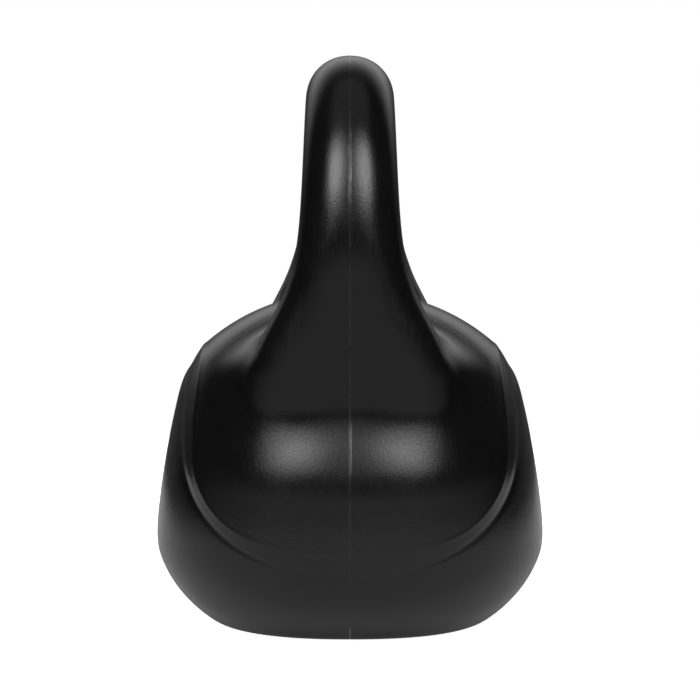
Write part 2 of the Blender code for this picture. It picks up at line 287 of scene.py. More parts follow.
class StudioSettings(bpy.types.PropertyGroup):
    """Floor, lights and camera."""

    floor_radius: length_setting("Floor radius", "Radius of the round floor", 0.7)
    floor_colour: colour_setting("Floor colour", "Colour of the floor", (0.62, 0.62, 0.62))
    key_power: bpy.props.FloatProperty(
        name="Softbox power", description="Power of each front softbox", default=3.2,
        unit="POWER",
    )
    key_turn: angle_setting(
        "Softbox turn", "Angle of the front softboxes each side of the view", 35
    )
    key_height: angle_setting("Softbox elevation", "Elevation of the front softboxes", 42)
    view_turn: angle_setting(
        "View azimuth", "Direction the camera stands in, 90 degrees is +X", 90
    )
    view_height: angle_setting("View elevation", "Elevation of the camera", 5)
    view_far: length_setting(
        "View distance", "Distance from the camera to its target", 1.75
    )
    target_z: length_setting("Target height", "Height that the camera looks at", 0.1085)
    focal: bpy.props.FloatProperty(
        name="Focal length", description="Focal length of the camera in millimetres",
        default=225.0, min=1.0,
    )


# ---------------------------------------------------------------- the outside shape


def smooth_min(a, b, width):
    """The lower of two values, with a parabola of the given width across their meeting."""
    share = np.clip(0.5 + 0.5 * (b - a) / width, 0.0, 1.0)
    return b + (a - b) * share - width * share * (1.0 - share)


def smooth_max(a, b, width):
    """The higher of two values, blended in the same way."""
    return -smooth_min(-a, -b, width)


def arc(part, power):
    """A superellipse's half width at a part of its height: (1 - part^power)^(1/power)."""
    return (1.0 - np.clip(np.abs(part), 0.0, 1.0) ** power) ** (1.0 / power)


def bowl(z, mid_z, half):
    """The lower body's half size: a superellipse closing at SINK_Z, straight above its middle."""
    return half * arc(np.clip(mid_z - z, 0.0, None) / (mid_z - SINK_Z), BOWL_POWER)


def half_depth(z):
    """Half depth at x = 0: the least of the bowl, a straight panel plus a parabola, and a
    quarter ellipse for the shoulder."""
    middle = 0.5 * (PANEL_LOW_Z + PANEL_HIGH_Z)
    along = (z - middle) / (PANEL_HIGH_Z - middle)
    straight = 0.5 * (PANEL_LOW + PANEL_HIGH) - 0.5 * (PANEL_LOW - PANEL_HIGH) * along
    panel = straight + PANEL_BOW * (1.0 - along**2)
    rise = np.clip(z - SHOULDER_Z, 0.0, None) / (CROWN_Z - SHOULDER_Z)
    low = smooth_min(bowl(z, BOWL_DEPTH_Z, BOWL_DEPTH), panel, EDGE_ROUND)
    shoulder = SHOULDER_DEPTH * arc(rise, 2.0)
    return np.clip(smooth_min(low, shoulder, 2.0 * EDGE_ROUND), 0.0, None)


def half_width(z):
    """Half width at y = 0: the lesser of the bowl and a superellipse bulging to the crown."""
    rise = np.clip(z - BULGE_Z, 0.0, None) / (CROWN_Z - BULGE_Z)
    bulge = BULGE_WIDTH * arc(rise, BULGE_POWER)
    low = bowl(z, BOWL_WIDTH_Z, BOWL_WIDTH)
    return np.clip(smooth_min(low, bulge, 2.0 * EDGE_ROUND), 0.0, None)


def polar_outline(half):
    """An outline of half size by height, as radius by elevation about CORE_Z. The heights are
    cosine spaced, which puts them close together at both ends."""
    turn = np.linspace(0.0, math.pi, 600)
    z = SINK_Z + (CROWN_Z - SINK_Z) * 0.5 * (1.0 - np.cos(turn))
    size = half(z)
    size[[0, -1]] = 0.0
    rise = z - CORE_Z
    return np.arctan2(rise, size), np.hypot(size, rise)


DEPTH_OUTLINE = polar_outline(half_depth)
WIDTH_OUTLINE = polar_outline(half_width)


def u_distance(y, z, outline, lean):
    """Distance outside a U: half a superellipse below U_MID_Z, and sides that lean in above
    U_LEAN_Z. The superellipse's value less one is scaled by the distance from its middle."""
    half, drop, power = outline
    side = half - lean * np.clip(z - U_LEAN_Z, 0.0, None)
    fall = np.clip(U_MID_Z - z, 0.0, None)
    scaled = ((y / side) ** power + (fall / drop) ** power) ** (1.0 / power)
    return (scaled - 1.0) * np.hypot(y, fall) / np.maximum(scaled, 1e-6)


def raised(y, z):
    """How far the sides stand proud: none outside the outer U, RAISE inside the inner one,
    and between them a straight ramp with both its ends rounded."""
    y = np.maximum(y, 1e-5)
    inner = u_distance(y, z, U_INNER, U_INNER_LEAN)
    outer = u_distance(y, z, U_OUTER, U_OUTER_LEAN)
    ramp = -outer / np.maximum(inner - outer, 1e-6)
    ramp = smooth_max(ramp, np.zeros_like(ramp), CREASE_SOFT)
    ramp = smooth_min(ramp, np.ones_like(ramp), EDGE_SOFT)
    bead = BEAD * np.exp(-((inner / BEAD_WIDTH) ** 2))
    groove = GROOVE * np.exp(-((outer / GROOVE_WIDTH) ** 2))
    return RAISE * ramp + bead - groove


def body_field(x, y, z):
    """Negative inside the body: distance from its middle less its radius that way. The radius
    runs between the depth and width outlines as a superellipse of the bearing."""
    rise = z - CORE_Z
    flat = np.hypot(x, y)
    far = np.hypot(flat, rise)
    elevation = np.arctan2(rise, flat)
    deep = np.interp(elevation, *DEPTH_OUTLINE)
    wide = np.interp(elevation, *WIDTH_OUTLINE)
    ends = np.where(rise > 0.0, CROWN_POWER, BASE_POWER)
    power = PLAN_POWER + (ends - PLAN_POWER) * np.sin(elevation) ** 2
    aside = np.arctan2(np.abs(y), np.abs(x))
    across = (np.cos(aside) / wide) ** power + (np.sin(aside) / deep) ** power
    return far - across ** (-1.0 / power) - raised(np.abs(y), z)


def outline_distance(x, rise, half, height):
    """Distance outside an arch: a superellipse above ARCH_Z and straight sides below it."""
    scaled = ((x / half) ** ARCH_POWER + (rise / height) ** ARCH_POWER) ** (1.0 / ARCH_POWER)
    return (scaled - 1.0) * np.hypot(x, rise) / scaled


def handle_half(z):
    """Half depth of the handle: even at the grip, a little more down the legs, and spread at
    the foot by a logistic curve."""
    spread = 1.0 / (1.0 + np.exp((z - FOOT_Z) / FOOT_RISE))
    swell = LEG_SWELL * np.clip((HANDLE_TOP - z) / (HANDLE_TOP - ARCH_Z), 0.0, 1.0)
    return GRIP_HALF + swell + (FOOT_HALF - GRIP_HALF - LEG_SWELL) * spread


def handle_field(x, y, z):
    """Negative inside the handle: a superellipse, one way between the outer arch and the
    window's arch and the other way across the depth. It grows squarer down the legs."""
    x = np.maximum(np.abs(x), 1e-6)
    rise = np.clip(z - ARCH_Z, 0.0, None)
    below = smooth_max(SPLAY_Z - z, np.zeros_like(z), SPLAY_SOFT)
    half = HANDLE_HALF + LEG_SPLAY * np.minimum(below, LEG_DROP)
    outer = outline_distance(x, rise, half, HANDLE_TOP - ARCH_Z)
    inner = outline_distance(x, rise, WINDOW_HALF, WINDOW_TOP - ARCH_Z)
    across = (inner + outer) / np.maximum(inner - outer, 1e-6)
    leg = np.clip((ROUND_Z - z) / (ROUND_Z - SQUARE_Z), 0.0, 1.0)
    power = GRIP_POWER + (LEG_POWER - GRIP_POWER) * leg * leg * (3.0 - 2.0 * leg)
    ring = (np.abs(across) ** power + (np.abs(y) / handle_half(z)) ** power) ** (1.0 / power)
    return np.maximum((ring - 1.0) * GRIP_HALF, LEG_END_Z - z)


def shape_field(x, y, z, inset, floor):
    """Negative inside the kettlebell, taken in by an inset and cut off level at the floor."""
    high = np.clip((z - FACE_LOW_Z) / (FACE_HIGH_Z - FACE_LOW_Z), 0.0, 1.0)
    width = FACE_JOIN + (JOIN - FACE_JOIN) * high * high * (3.0 - 2.0 * high)
    joined = smooth_min(body_field(x, y, z), handle_field(x, y, z), width)
    return smooth_max(joined + inset, floor - z, BASE_ROUND)


# ---------------------------------------------------------------- sections round the window


def spine_reach(turn):
    """Distance from the middle of the fan to the middle of the section at an angle."""
    return SPINE_NEAR + SPINE_FAR * np.exp(-((turn / SPINE_TURN) ** 3))


def section_points(turn, angle, reach):
    """Points at a reach along rays from the spine: turn round the window, angle round it."""
    out = spine_reach(turn) + reach * np.cos(angle)
    return np.sin(turn) * out, reach * np.sin(angle), FAN_Z - np.cos(turn) * out


def solve_reach(turn, angle, inset, floor):
    """The first crossing of the surface along each ray: even steps, then repeated halving."""
    inward = np.maximum(-np.cos(angle), 1e-6)
    limit = np.minimum(REACH, 0.985 * spine_reach(turn) / inward)
    found = limit.copy()
    open_ray = np.ones(limit.shape, bool)
    for step in range(1, MARCH_STEPS + 1):
        reach = limit * step / MARCH_STEPS
        outside = shape_field(*section_points(turn, angle, reach), inset, floor) > 0.0
        first = outside & open_ray
        found[first] = reach[first]
        open_ray &= ~outside
    low = found - limit / MARCH_STEPS
    high = found
    for _ in range(HALVINGS):
        middle = 0.5 * (low + high)
        outside = shape_field(*section_points(turn, angle, middle), inset, floor) > 0.0
        high = np.where(outside, middle, high)
        low = np.where(outside, low, middle)
    return 0.5 * (low + high)


def crowding(y, z):
    """How closely points lie: one, and more by a bell curve near the seam and near the edge
    of the raised sides."""
    inner = u_distance(np.abs(y), z, U_INNER, U_INNER_LEAN)
    outer = u_distance(np.abs(y), z, U_OUTER, U_OUTER_LEAN)
    rim = np.minimum(np.abs(inner), np.abs(outer))
    near_seam = SEAM_CROWD * np.exp(-((y / SEAM_REACH) ** 2))
    return 1.0 + near_seam + RIM_CROWD * np.exp(-((rim / RIM_REACH) ** 2))


def even_turns(count, crowd):
    """Section angles, spaced by the mean length of five lines drawn along the shape."""
    turn = np.linspace(0.0, math.pi, 400)
    length = np.zeros(turn.size)
    for side in np.radians((0.0, 35.0, 65.0, 90.0, 180.0)):
        angle = np.full(turn.size, side)
        line = np.array(section_points(turn, angle, solve_reach(turn, angle, 0.0, 0.0)))
        step = np.linalg.norm(np.diff(line), axis=0)
        if crowd:
            step *= crowding(np.maximum(line[1, 1:], 3.0 * SEAM_REACH), line[2, 1:])
        length[1:] += np.cumsum(step)
    return np.interp(np.linspace(0.0, length[-1], count + 1), length, turn)


def smoothed_rows(grid):
    """Each row averaged with its neighbours, by a raised cosine, so that columns run smoothly
    from section to section."""
    reach = max(1, len(grid) // 24)
    weights = 0.5 + 0.5 * np.cos(np.linspace(-math.pi, math.pi, 2 * reach + 3)[1:-1])
    weights /= weights.sum()
    padded = np.concatenate([grid[reach:0:-1], grid, grid[-2 : -reach - 2 : -1]])
    shifted = [padded[start : start + len(grid)] for start in range(2 * reach + 1)]
    return np.tensordot(weights, np.array(shifted), axes=1)


def even_rays(turns, count, crowd):
    """Section and ray angles whose points are evenly crowded from outer seam to window."""
    fine = np.linspace(0.0, math.pi, 4 * count + 1)
    turn, angle = np.meshgrid(turns, fine, indexing="ij")
    x, y, z = section_points(turn, angle, solve_reach(turn, angle, 0.0, 0.0))
    step = np.sqrt(np.diff(x) ** 2 + np.diff(y) ** 2 + np.diff(z) ** 2)
    if crowd:
        step *= crowding(0.5 * (y[:, 1:] + y[:, :-1]), 0.5 * (z[:, 1:] + z[:, :-1]))
    length = np.concatenate([np.zeros((turns.size, 1)), np.cumsum(step, axis=1)], axis=1)
    even = [np.interp(np.linspace(0.0, row[-1], count + 1), row, fine) for row in length]
    return np.repeat(turns[:, None], count + 1, axis=1), smoothed_rows(np.array(even))


def section_grid(rays, inset, floor):
    """Grid of points on one quarter of the shape, sections by rows, flat on x = 0 and y = 0."""
    x, y, z = section_points(*rays, solve_reach(*rays, inset, floor))
    x[[0, -1]] = 0.0
    y[:, [0, -1]] = 0.0
    return np.stack([x, y, z], axis=-1)


def field_normals(points):
    """Outward unit normals: the gradient of the shape's field by central differences."""
    step = 0.00005
    slopes = []
    for axis in range(3):
        ahead = points.copy()
        behind = points.copy()
        ahead[..., axis] += step
        behind[..., axis] -= step
        rise = shape_field(*np.moveaxis(ahead, -1, 0), 0.0, 0.0)
        fall = shape_field(*np.moveaxis(behind, -1, 0), 0.0, 0.0)
        slopes.append(rise - fall)
    gradient = np.stack(slopes, axis=-1)
    return gradient / np.linalg.norm(gradient, axis=-1, keepdims=True)


def ring_of(quarter):
    """The whole ring of sections: the quarter's rows, then their mirror images in x."""
    return np.concatenate([quarter, quarter[-2:0:-1] * np.array([-1.0, 1.0, 1.0])])


# ---------------------------------------------------------------- meshes


def closed_faces(rows, columns):
    """Quads of a grid that closes both ways, as a torus does."""
    index = np.arange(rows * columns).reshape(rows, columns)
    down = np.roll(index, -1, axis=0)
    across = np.roll(index, -1, axis=1)
    both = np.roll(down, -1, axis=1)
    return np.stack([index, across, both, down], axis=-1).reshape(-1, 4)


def capped_faces(rows, columns):
    """Quads of a grid that closes round its columns, and a cap over each end row."""
    index = np.arange(rows * columns).reshape(rows, columns)
    side = np.roll(index, -1, axis=1)
    quads = np.stack([index[:-1], side[:-1], side[1:], index[1:]], axis=-1).reshape(-1, 4)
    return quads.tolist() + [index[0, ::-1].tolist(), index[-1].tolist()]


def new_piece(name, points, faces, finish, sharp=40.0):
    """An object at the origin whose mesh holds the points, faces outwards and shaded smooth."""
    mesh = bpy.data.meshes.new(name)
    faces = faces.tolist() if isinstance(faces, np.ndarray) else faces
    mesh.from_pydata(np.asarray(points).reshape(-1, 3).tolist(), [], faces)
    tidy = bmesh.new()
    tidy.from_mesh(mesh)
    bmesh.ops.remove_doubles(tidy, verts=tidy.verts, dist=1e-7)
    if tidy.calc_volume(signed=True) < 0.0:
        bmesh.ops.reverse_faces(tidy, faces=tidy.faces)
    tidy.to_mesh(mesh)
    tidy.free()
    mesh.materials.append(finish)
    mesh.shade_smooth()
    mesh.set_sharp_from_angle(angle=math.radians(sharp))
    piece = bpy.data.objects.new(name, mesh)
    bpy.context.scene.collection.objects.link(piece)
    return piece


def cut_out(piece, points, faces, sharp=40.0):
    """Take a closed shape out of a piece, and keep only the finished mesh."""
    cutter = new_piece(piece.name + "_cutter", points, faces, piece.data.materials[0])
    difference = piece.modifiers.new("cut", "BOOLEAN")
    difference.operation = "DIFFERENCE"
    difference.solver = "EXACT"
    difference.object = cutter
    graph = bpy.context.evaluated_depsgraph_get()
    finished = bpy.data.meshes.new_from_object(piece.evaluated_get(graph))
    finished.name = piece.name
    piece.modifiers.remove(difference)
    piece.data = finished
    bpy.data.objects.remove(cutter, do_unlink=True)
    finished.shade_smooth()
    finished.set_sharp_from_angle(angle=math.radians(sharp))


def turned(profile, sides):
    """A profile of (radius, height) points carried round the Z axis."""
    outline = np.array(profile)
    around = np.linspace(0.0, 2.0 * math.pi, sides, endpoint=False)
    radius = outline[:, 0][:, None]
    height = np.repeat(outline[:, 1][:, None], sides, axis=1)
    points = np.stack([radius * np.cos(around), radius * np.sin(around), height], axis=-1)
    return points, capped_faces(len(profile), sides)


def place(piece, node):
    """The piece rides on the one body and stands for its node, whose imported part is hidden."""
    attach(piece, BODY)
    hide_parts(node)


# ---------------------------------------------------------------- the pieces


def seam_wander(turn, seed):
    """A slow random wander between 0 and 1 along the seam: sines of several lengths."""
    source = np.random.default_rng(seed)
    total = np.zeros_like(turn)
    for waves in (5, 11, 23, 47, 90):
        total += source.uniform(0.4, 1.0) * np.sin(waves * turn + source.uniform(0, 2 * math.pi))
    return 0.5 + 0.5 * np.tanh(0.9 * total)


def add_flash(points, normals, turns, settings, seed):
    """Raise the flash: a bell curve of the distance from the seam, scaled by its wander, and
    faded to nothing at the base so that the kettlebell stands flat."""
    wander = 0.35 + 0.9 * seam_wander(turns, seed)[:, None]
    bell = np.exp(-((points[..., 1] / settings.lip_width) ** 2))
    fade = np.clip(points[..., 2] / 0.004, 0.0, 1.0)
    return points + normals * (settings.lip_height * wander * bell * fade)[..., None]


def shell_points(rays, inner_rays, settings, side):
    """One half: each section runs along the outside from outer seam to window seam, then back
    along the inside, and the sections close round the window."""
    outside = section_grid(rays, 0.0, 0.0)
    normals = field_normals(outside)
    normals[:, [0, -1], 1] = 0.0
    outside = add_flash(outside, normals, rays[0][:, 0], settings, 3 + int(side))
    inside = section_grid(inner_rays, settings.wall, settings.floor_wall)
    loops = np.concatenate([outside, inside[:, ::-1]], axis=1)
    ring = ring_of(loops)
    ring[..., 1] = side * (ring[..., 1] + 0.5 * settings.seam_gap)
    return ring


class KETTLEBELL_OT_shells(bpy.types.Operator):
    """Mould the front and back halves of the shell"""

    bl_idname = "kettlebell.shells"
    bl_label = "Half shells"

    def execute(self, context):
        settings = context.scene.kettlebell_shell
        finish = shell_plastic(settings)
        turns = even_turns(SECTIONS, True)
        rays = even_rays(turns, OUTSIDE_STEPS, True)
        inner_rays = even_rays(turns, INSIDE_STEPS, False)
        depth = settings.recess_depth
        wide = settings.recess_radius
        hole = settings.hole_radius
        recess = [
            (wide + CHAMFER, -0.010), (wide + CHAMFER, 0.0), (wide, CHAMFER), (wide, depth),
            (hole + CHAMFER, depth), (hole, depth + CHAMFER), (hole, 0.012),
        ]
        halves = (("front_moulding", "shell_front", -1.0), ("back_moulding", "shell_back", 1.0))
        for name, node, side in halves:
            points = shell_points(rays, inner_rays, settings, side)
            half = new_piece(name, points, closed_faces(*points.shape[:2]), finish)
            cut_out(half, *turned(recess, TURNED_SIDES))
            place(half, node)
        return {"FINISHED"}


def bar_route(low_z):
    """The bar's route by length: straight legs and a superellipse arch over ARCH_Z."""
    sweep = np.linspace(0.0, math.pi, 400)
    power = 2.0 / ARCH_POWER
    x = BAR_HALF * np.sign(np.cos(sweep)) * np.abs(np.cos(sweep)) ** power
    z = ARCH_Z + (BAR_TOP_Z - ARCH_Z) * np.sin(sweep) ** power
    slope = (BAR_HALF - BAR_FOOT_X) / (ARCH_Z - BAR_FOOT_Z)
    foot_x = BAR_FOOT_X - slope * (BAR_FOOT_Z - low_z)
    x = np.concatenate([[foot_x], x, [-foot_x]])
    z = np.concatenate([[low_z], z, [low_z]])
    length = np.concatenate([[0.0], np.cumsum(np.hypot(np.diff(x), np.diff(z)))])
    even = np.linspace(0.0, length[-1], BAR_STEPS + 1)
    return even, np.interp(even, length, x), np.interp(even, length, z)


def bar_points(radius, rib, low_z):
    """A circle carried along the route. Its radius dips between slanting ribs, which follow
    the sine of distance plus a turn of the bearing, and is full at two lengthwise ribs."""
    length, x, z = bar_route(low_z)
    along_x = np.gradient(x)
    along_z = np.gradient(z)
    speed = np.hypot(along_x, along_z)
    side_x = (along_z / speed)[:, None]
    side_z = (-along_x / speed)[:, None]
    around = np.linspace(0.0, 2.0 * math.pi, BAR_SIDES, endpoint=False)[None, :]
    slant = np.sin(2.0 * math.pi * length[:, None] / RIB_PITCH + RIB_SLANT * np.abs(np.sin(around)))
    lengthwise = np.exp(-((np.sin(around) / RIB_WIDTH) ** 2))
    ribbed = np.maximum(np.clip(2.0 * slant - 0.9, 0.0, 1.0), lengthwise)
    size = radius - rib * (1.0 - ribbed)
    out = size * np.cos(around)
    return np.stack(
        [x[:, None] + out * side_x, size * np.sin(around), z[:, None] + out * side_z], axis=-1
    )


class KETTLEBELL_OT_ballast(bpy.types.Operator):
    """Cast the ballast that fills the shell"""

    bl_idname = "kettlebell.ballast"
    bl_label = "Cast ballast"

    def execute(self, context):
        shell = context.scene.kettlebell_shell
        settings = context.scene.kettlebell_filling
        gap = settings.ballast_gap
        rays = even_rays(even_turns(FILL_SECTIONS, False), FILL_STEPS, False)
        quarter = section_grid(rays, shell.wall + gap, shell.floor_wall + gap)
        other = quarter[:, -2:0:-1] * np.array([1.0, -1.0, 1.0])
        ring = ring_of(np.concatenate([quarter, other], axis=1))
        finish = cast_cement(settings)
        ballast = new_piece("cast_ballast", ring, closed_faces(*ring.shape[:2]), finish)
        way = bar_points(settings.bar_radius + settings.bar_clear, 0.0, -0.002)
        cut_out(ballast, way[::4], capped_faces(len(way[::4]), BAR_SIDES))
        radius = settings.pocket_radius
        top = settings.pocket_top
        pocket = [(radius, -0.010), (radius, top - 0.001), (radius - 0.001, top)]
        cut_out(ballast, *turned(pocket, POCKET_SIDES))
        place(ballast, "ballast_core")
        return {"FINISHED"}


class KETTLEBELL_OT_handle_bar(bpy.types.Operator):
    """Bend the ribbed steel bar that runs through the handle"""

    bl_idname = "kettlebell.handle_bar"
    bl_label = "Handle bar"

    def execute(self, context):
        settings = context.scene.kettlebell_filling
        points = bar_points(settings.bar_radius, settings.bar_rib, BAR_FOOT_Z)
        finish = rolled_steel(settings)
        bar = new_piece("bent_bar", points, capped_faces(*points.shape[:2]), finish, 60.0)
        place(bar, "handle_bar")
        return {"FINISHED"}


def rounded(corners, radius, steps=5):
    """A profile with its inner corners rounded: a quadratic arc from one leg to the next."""
    points = [corners[0]]
    part = np.linspace(0.0, 1.0, steps)[:, None]
    for before, corner, after in zip(corners, corners[1:], corners[2:]):
        corner = np.array(corner)
        leg_in = np.array(before) - corner
        leg_out = np.array(after) - corner
        size_in = np.linalg.norm(leg_in)
        size_out = np.linalg.norm(leg_out)
        reach = min(radius, 0.45 * size_in, 0.45 * size_out)
        start = corner + leg_in / size_in * reach
        end = corner + leg_out / size_out * reach
        curve = (1 - part) ** 2 * start + 2 * part * (1 - part) * corner + part**2 * end
        points.extend(map(tuple, curve))
    points.append(corners[-1])
    return points


def plug_profile(low):
    """The plug's outline from its top round the barb and flange to the middle of its cup."""
    over = low + 0.0012
    return [
        (0.0005, 0.0110), (0.0103, 0.0110), (0.0113, 0.0100), (0.0113, 0.0080),
        (0.0117, 0.0070), (0.0113, 0.0055), (0.0113, over), (0.0210, over), (0.0210, low),
        (0.0085, low), (0.0075, low + 0.0075), (0.0005, low + 0.0075),
    ]


class KETTLEBELL_OT_plug(bpy.types.Operator):
    """Turn the plug that closes the fill hole"""

    bl_idname = "kettlebell.plug"
    bl_label = "Fill plug"

    def execute(self, context):
        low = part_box("fill_plug")[0].z
        points, faces = turned(rounded(plug_profile(low), CHAMFER), TURNED_SIDES)
        plug = new_piece("push_in_plug", points, faces, plug_plastic(context.scene))
        place(plug, "fill_plug")
        return {"FINISHED"}


# ---------------------------------------------------------------- finishes


def set_node(tree, node, **values):
    """Set a node's inputs, or link them when the value is another node's output. A name that
    isn't an input's is one of the node's own settings."""
    for name, value in values.items():
        socket = node.inputs.get(name.replace("_", " "))
        if socket is None:
            setattr(node, name, value)
        elif isinstance(value, bpy.types.NodeSocket):
            tree.links.new(value, socket)
        else:
            socket.default_value = value
    return node


def add_node(tree, kind, **values):
    """A new node, set in the same way."""
    return set_node(tree, tree.nodes.new(kind), **values)


def new_group(name, amount, default, *results):
    """An empty shader node group, its input node and its output node. It takes a vector and
    one number, and gives numbers."""
    group = bpy.data.node_groups.new(name, "ShaderNodeTree")
    sockets = group.interface
    sockets.new_socket(name="Vector", in_out="INPUT", socket_type="NodeSocketVector")
    number = sockets.new_socket(name=amount, in_out="INPUT", socket_type="NodeSocketFloat")
    number.default_value = default
    for result in results:
        sockets.new_socket(name=result, in_out="OUTPUT", socket_type="NodeSocketFloat")
    return group, group.nodes.new("NodeGroupInput"), group.nodes.new("NodeGroupOutput")


def scaled_noise(group, vector, scale, detail, stretch=(1.0, 1.0, 1.0)):
    """Noise on object coordinates, its cells shrunk by a factor along each axis."""
    mapping = add_node(group, "ShaderNodeMapping", Scale=stretch, Vector=vector)
    noise = add_node(group, "ShaderNodeTexNoise", Scale=scale, Detail=detail, Roughness=0.55,
                     Vector=mapping.outputs["Vector"])
    return noise.outputs["Fac"]


def combined(tree, first, second, operation):
    """Two values joined by a sum, a product or the like."""
    node = add_node(tree, "ShaderNodeMath", operation=operation)
    tree.links.new(first, node.inputs[0])
    tree.links.new(second, node.inputs[1])
    return node.outputs["Value"]


def faded(group, value, reach):
    """One where a value is zero, falling by a smooth step to nothing at the reach."""
    node = add_node(group, "ShaderNodeMapRange", interpolation_type="SMOOTHSTEP", Value=value,
                    From_Min=0.0, From_Max=reach, To_Min=1.0, To_Max=0.0)
    return node.outputs["Result"]


def mixed(group, first, second, share):
    """Two values mixed by a share."""
    mix = add_node(group, "ShaderNodeMix", Factor=share, A=first, B=second)
    return mix.outputs["Result"]


def ranged(group, value, low, high, to_low, to_high):
    """A value mapped from one range to another and clamped."""
    node = add_node(group, "ShaderNodeMapRange", Value=value, From_Min=low, From_Max=high,
                    To_Min=to_low, To_Max=to_high)
    return node.outputs["Result"]


def moulded_grain():
    """Group for moulded plastic: a fine even grain and finer upright streaks as a height, and
    slow cloudy patches with the grain in them as a mask."""
    group, start, end = new_group("moulded_grain", "Streaks", 0.4, "Height", "Patches")
    vector = start.outputs["Vector"]
    grain = scaled_noise(group, vector, GRAIN_SCALE, 3.0)
    streaks = scaled_noise(group, vector, GRAIN_SCALE, 2.0, (1.0, 1.0, STREAK_STRETCH))
    both = mixed(group, grain, streaks, start.outputs["Streaks"])
    clouds = scaled_noise(group, vector, CLOUD_SCALE, 4.0, (1.0, 1.0, 0.7))
    speckle = scaled_noise(group, vector, SPECKLE_SCALE, 2.0, (1.0, 1.0, 0.35))
    group.links.new(both, end.inputs["Height"])
    group.links.new(mixed(group, clouds, speckle, SPECKLE_SHARE), end.inputs["Patches"])
    return group


def edge_rub():
    """Group for handling marks: a mask that is high in thin patchy scuffs near the base."""
    group, start, end = new_group("edge_rub", "Reach", 0.006, "Mask")
    vector = start.outputs["Vector"]
    parts = add_node(group, "ShaderNodeSeparateXYZ", Vector=vector)
    near = faded(group, parts.outputs["Z"], start.outputs["Reach"])
    scuffs = scaled_noise(group, vector, SCUFF_SCALE, 5.0, (1.0, 1.0, 3.0))
    spots = ranged(group, scuffs, 0.58, 0.70, 0.0, 1.0)
    group.links.new(combined(group, near, spots, "MULTIPLY"), end.inputs["Mask"])
    return group


def painted_seam_highlight():
    """Group for the painted highlight on the moulding flash: a mask along y = 0, broken up by noise
    and weaker near the base, that paints a paler line standing in for light caught by the flash."""
    # mask of the painted seam highlight
    group, start, end = new_group("painted_seam_highlight", "Reach", SHELL_HIGHLIGHT_REACH, "Mask")
    vector = start.outputs["Vector"]
    parts = add_node(group, "ShaderNodeSeparateXYZ", Vector=vector)
    aside = add_node(group, "ShaderNodeMath", operation="ABSOLUTE")
    group.links.new(parts.outputs["Y"], aside.inputs[0])
    near = faded(group, aside.outputs["Value"], start.outputs["Reach"])
    breaks = scaled_noise(group, vector, BREAK_SCALE, 4.0)
    strong = ranged(group, breaks, 0.40, 0.64, 0.10, 1.0)
    high = ranged(group, parts.outputs["Z"], 0.020, 0.034, 0.2, 1.0)
    line = combined(group, near, strong, "MULTIPLY")
    group.links.new(combined(group, line, high, "MULTIPLY"), end.inputs["Mask"])
    return group


def shared_group(make):
    """The group that a function makes, made once."""
    return bpy.data.node_groups.get(make.__name__) or make()


def use_group(tree, make, vector, **values):
    """A shared group placed in a material, reading its coordinates."""
    return add_node(tree, "ShaderNodeGroup", node_tree=shared_group(make), Vector=vector,
                    **values)


def new_finish(name):
    """A material with its shader and its object coordinates."""
    finish = bpy.data.materials.new(name)
    finish.use_nodes = True
    tree = finish.node_tree
    shader = tree.nodes["Principled BSDF"]
    vector = add_node(tree, "ShaderNodeTexCoord").outputs["Object"]
    return finish, tree, shader, vector


def mixed_colour(tree, mask, first, second):
    """A colour running with a mask from the first, or from another node's, to the second."""
    if isinstance(first, tuple):
        first = (*first, 1.0)
    mix = add_node(tree, "ShaderNodeMix", data_type="RGBA", Factor=mask, A=first,
                   B=(*second, 1.0))
    return mix.outputs["Result"]


def add_bump(tree, shader, height, distance, strength):
    """A bump from a height, which is in the range 0 to 1 over a distance."""
    bump = add_node(tree, "ShaderNodeBump", Strength=strength, Distance=distance,
                    Height=height)
    tree.links.new(bump.outputs["Normal"], shader.inputs["Normal"])


def black_plastic(name, colour, roughness, grain, streaks, seam):
    """Satin black plastic: nearly even colour, grain and streaks as bump, cloudy roughness,
    rubbed spots where it stands, and a painted highlight, a paler line, within a reach of the seam."""
    finish, tree, shader, vector = new_finish(name)
    mould = use_group(tree, moulded_grain, vector, Streaks=streaks)
    rub = use_group(tree, edge_rub, vector)
    dark = tuple(0.75 * part for part in colour)
    light = tuple(1.25 * part for part in colour)
    worn = tuple(3.0 * part for part in colour)
    even = mixed_colour(tree, ranged(tree, mould.outputs["Patches"], 0.3, 0.7, 0.0, 1.0),
                        dark, light)
    rubbed = mixed_colour(tree, rub.outputs["Mask"], even, worn)
    # painted highlight: the colour turns paler along the seam flash
    line = use_group(tree, painted_seam_highlight, vector, Reach=seam)
    seam_highlighted = mixed_colour(tree, line.outputs["Mask"], rubbed, SEAM_HIGHLIGHT_COLOUR)
    patches = ranged(tree, mould.outputs["Patches"], 0.30, 0.70,
                     roughness - ROUGHNESS_SPREAD, roughness + ROUGHNESS_SPREAD)
    rough = add_node(tree, "ShaderNodeMath", operation="MULTIPLY_ADD")
    rough.inputs[1].default_value = RUB_ROUGHNESS
    tree.links.new(rub.outputs["Mask"], rough.inputs[0])
    tree.links.new(patches, rough.inputs[2])
    set_node(tree, shader, Base_Color=seam_highlighted, Roughness=rough.outputs["Value"], IOR=PLASTIC_IOR)
    add_bump(tree, shader, mould.outputs["Height"], grain, GRAIN_STRENGTH)
    return finish


def shell_plastic(settings):
    """Finish of the two halves."""
    colour = tuple(settings.colour)
    return black_plastic("shell_satin", colour, settings.roughness, settings.grain,
                         SHELL_STREAKS, SHELL_HIGHLIGHT_REACH)


def plug_plastic(scene):
    """Finish of the plug: the same plastic, duller and without streaks."""
    colour = tuple(scene.kettlebell_filling.plug_colour)
    grain = scene.kettlebell_shell.grain
    return black_plastic("plug_satin", colour, PLUG_ROUGHNESS, grain, 0.0, PLUG_HIGHLIGHT_REACH)


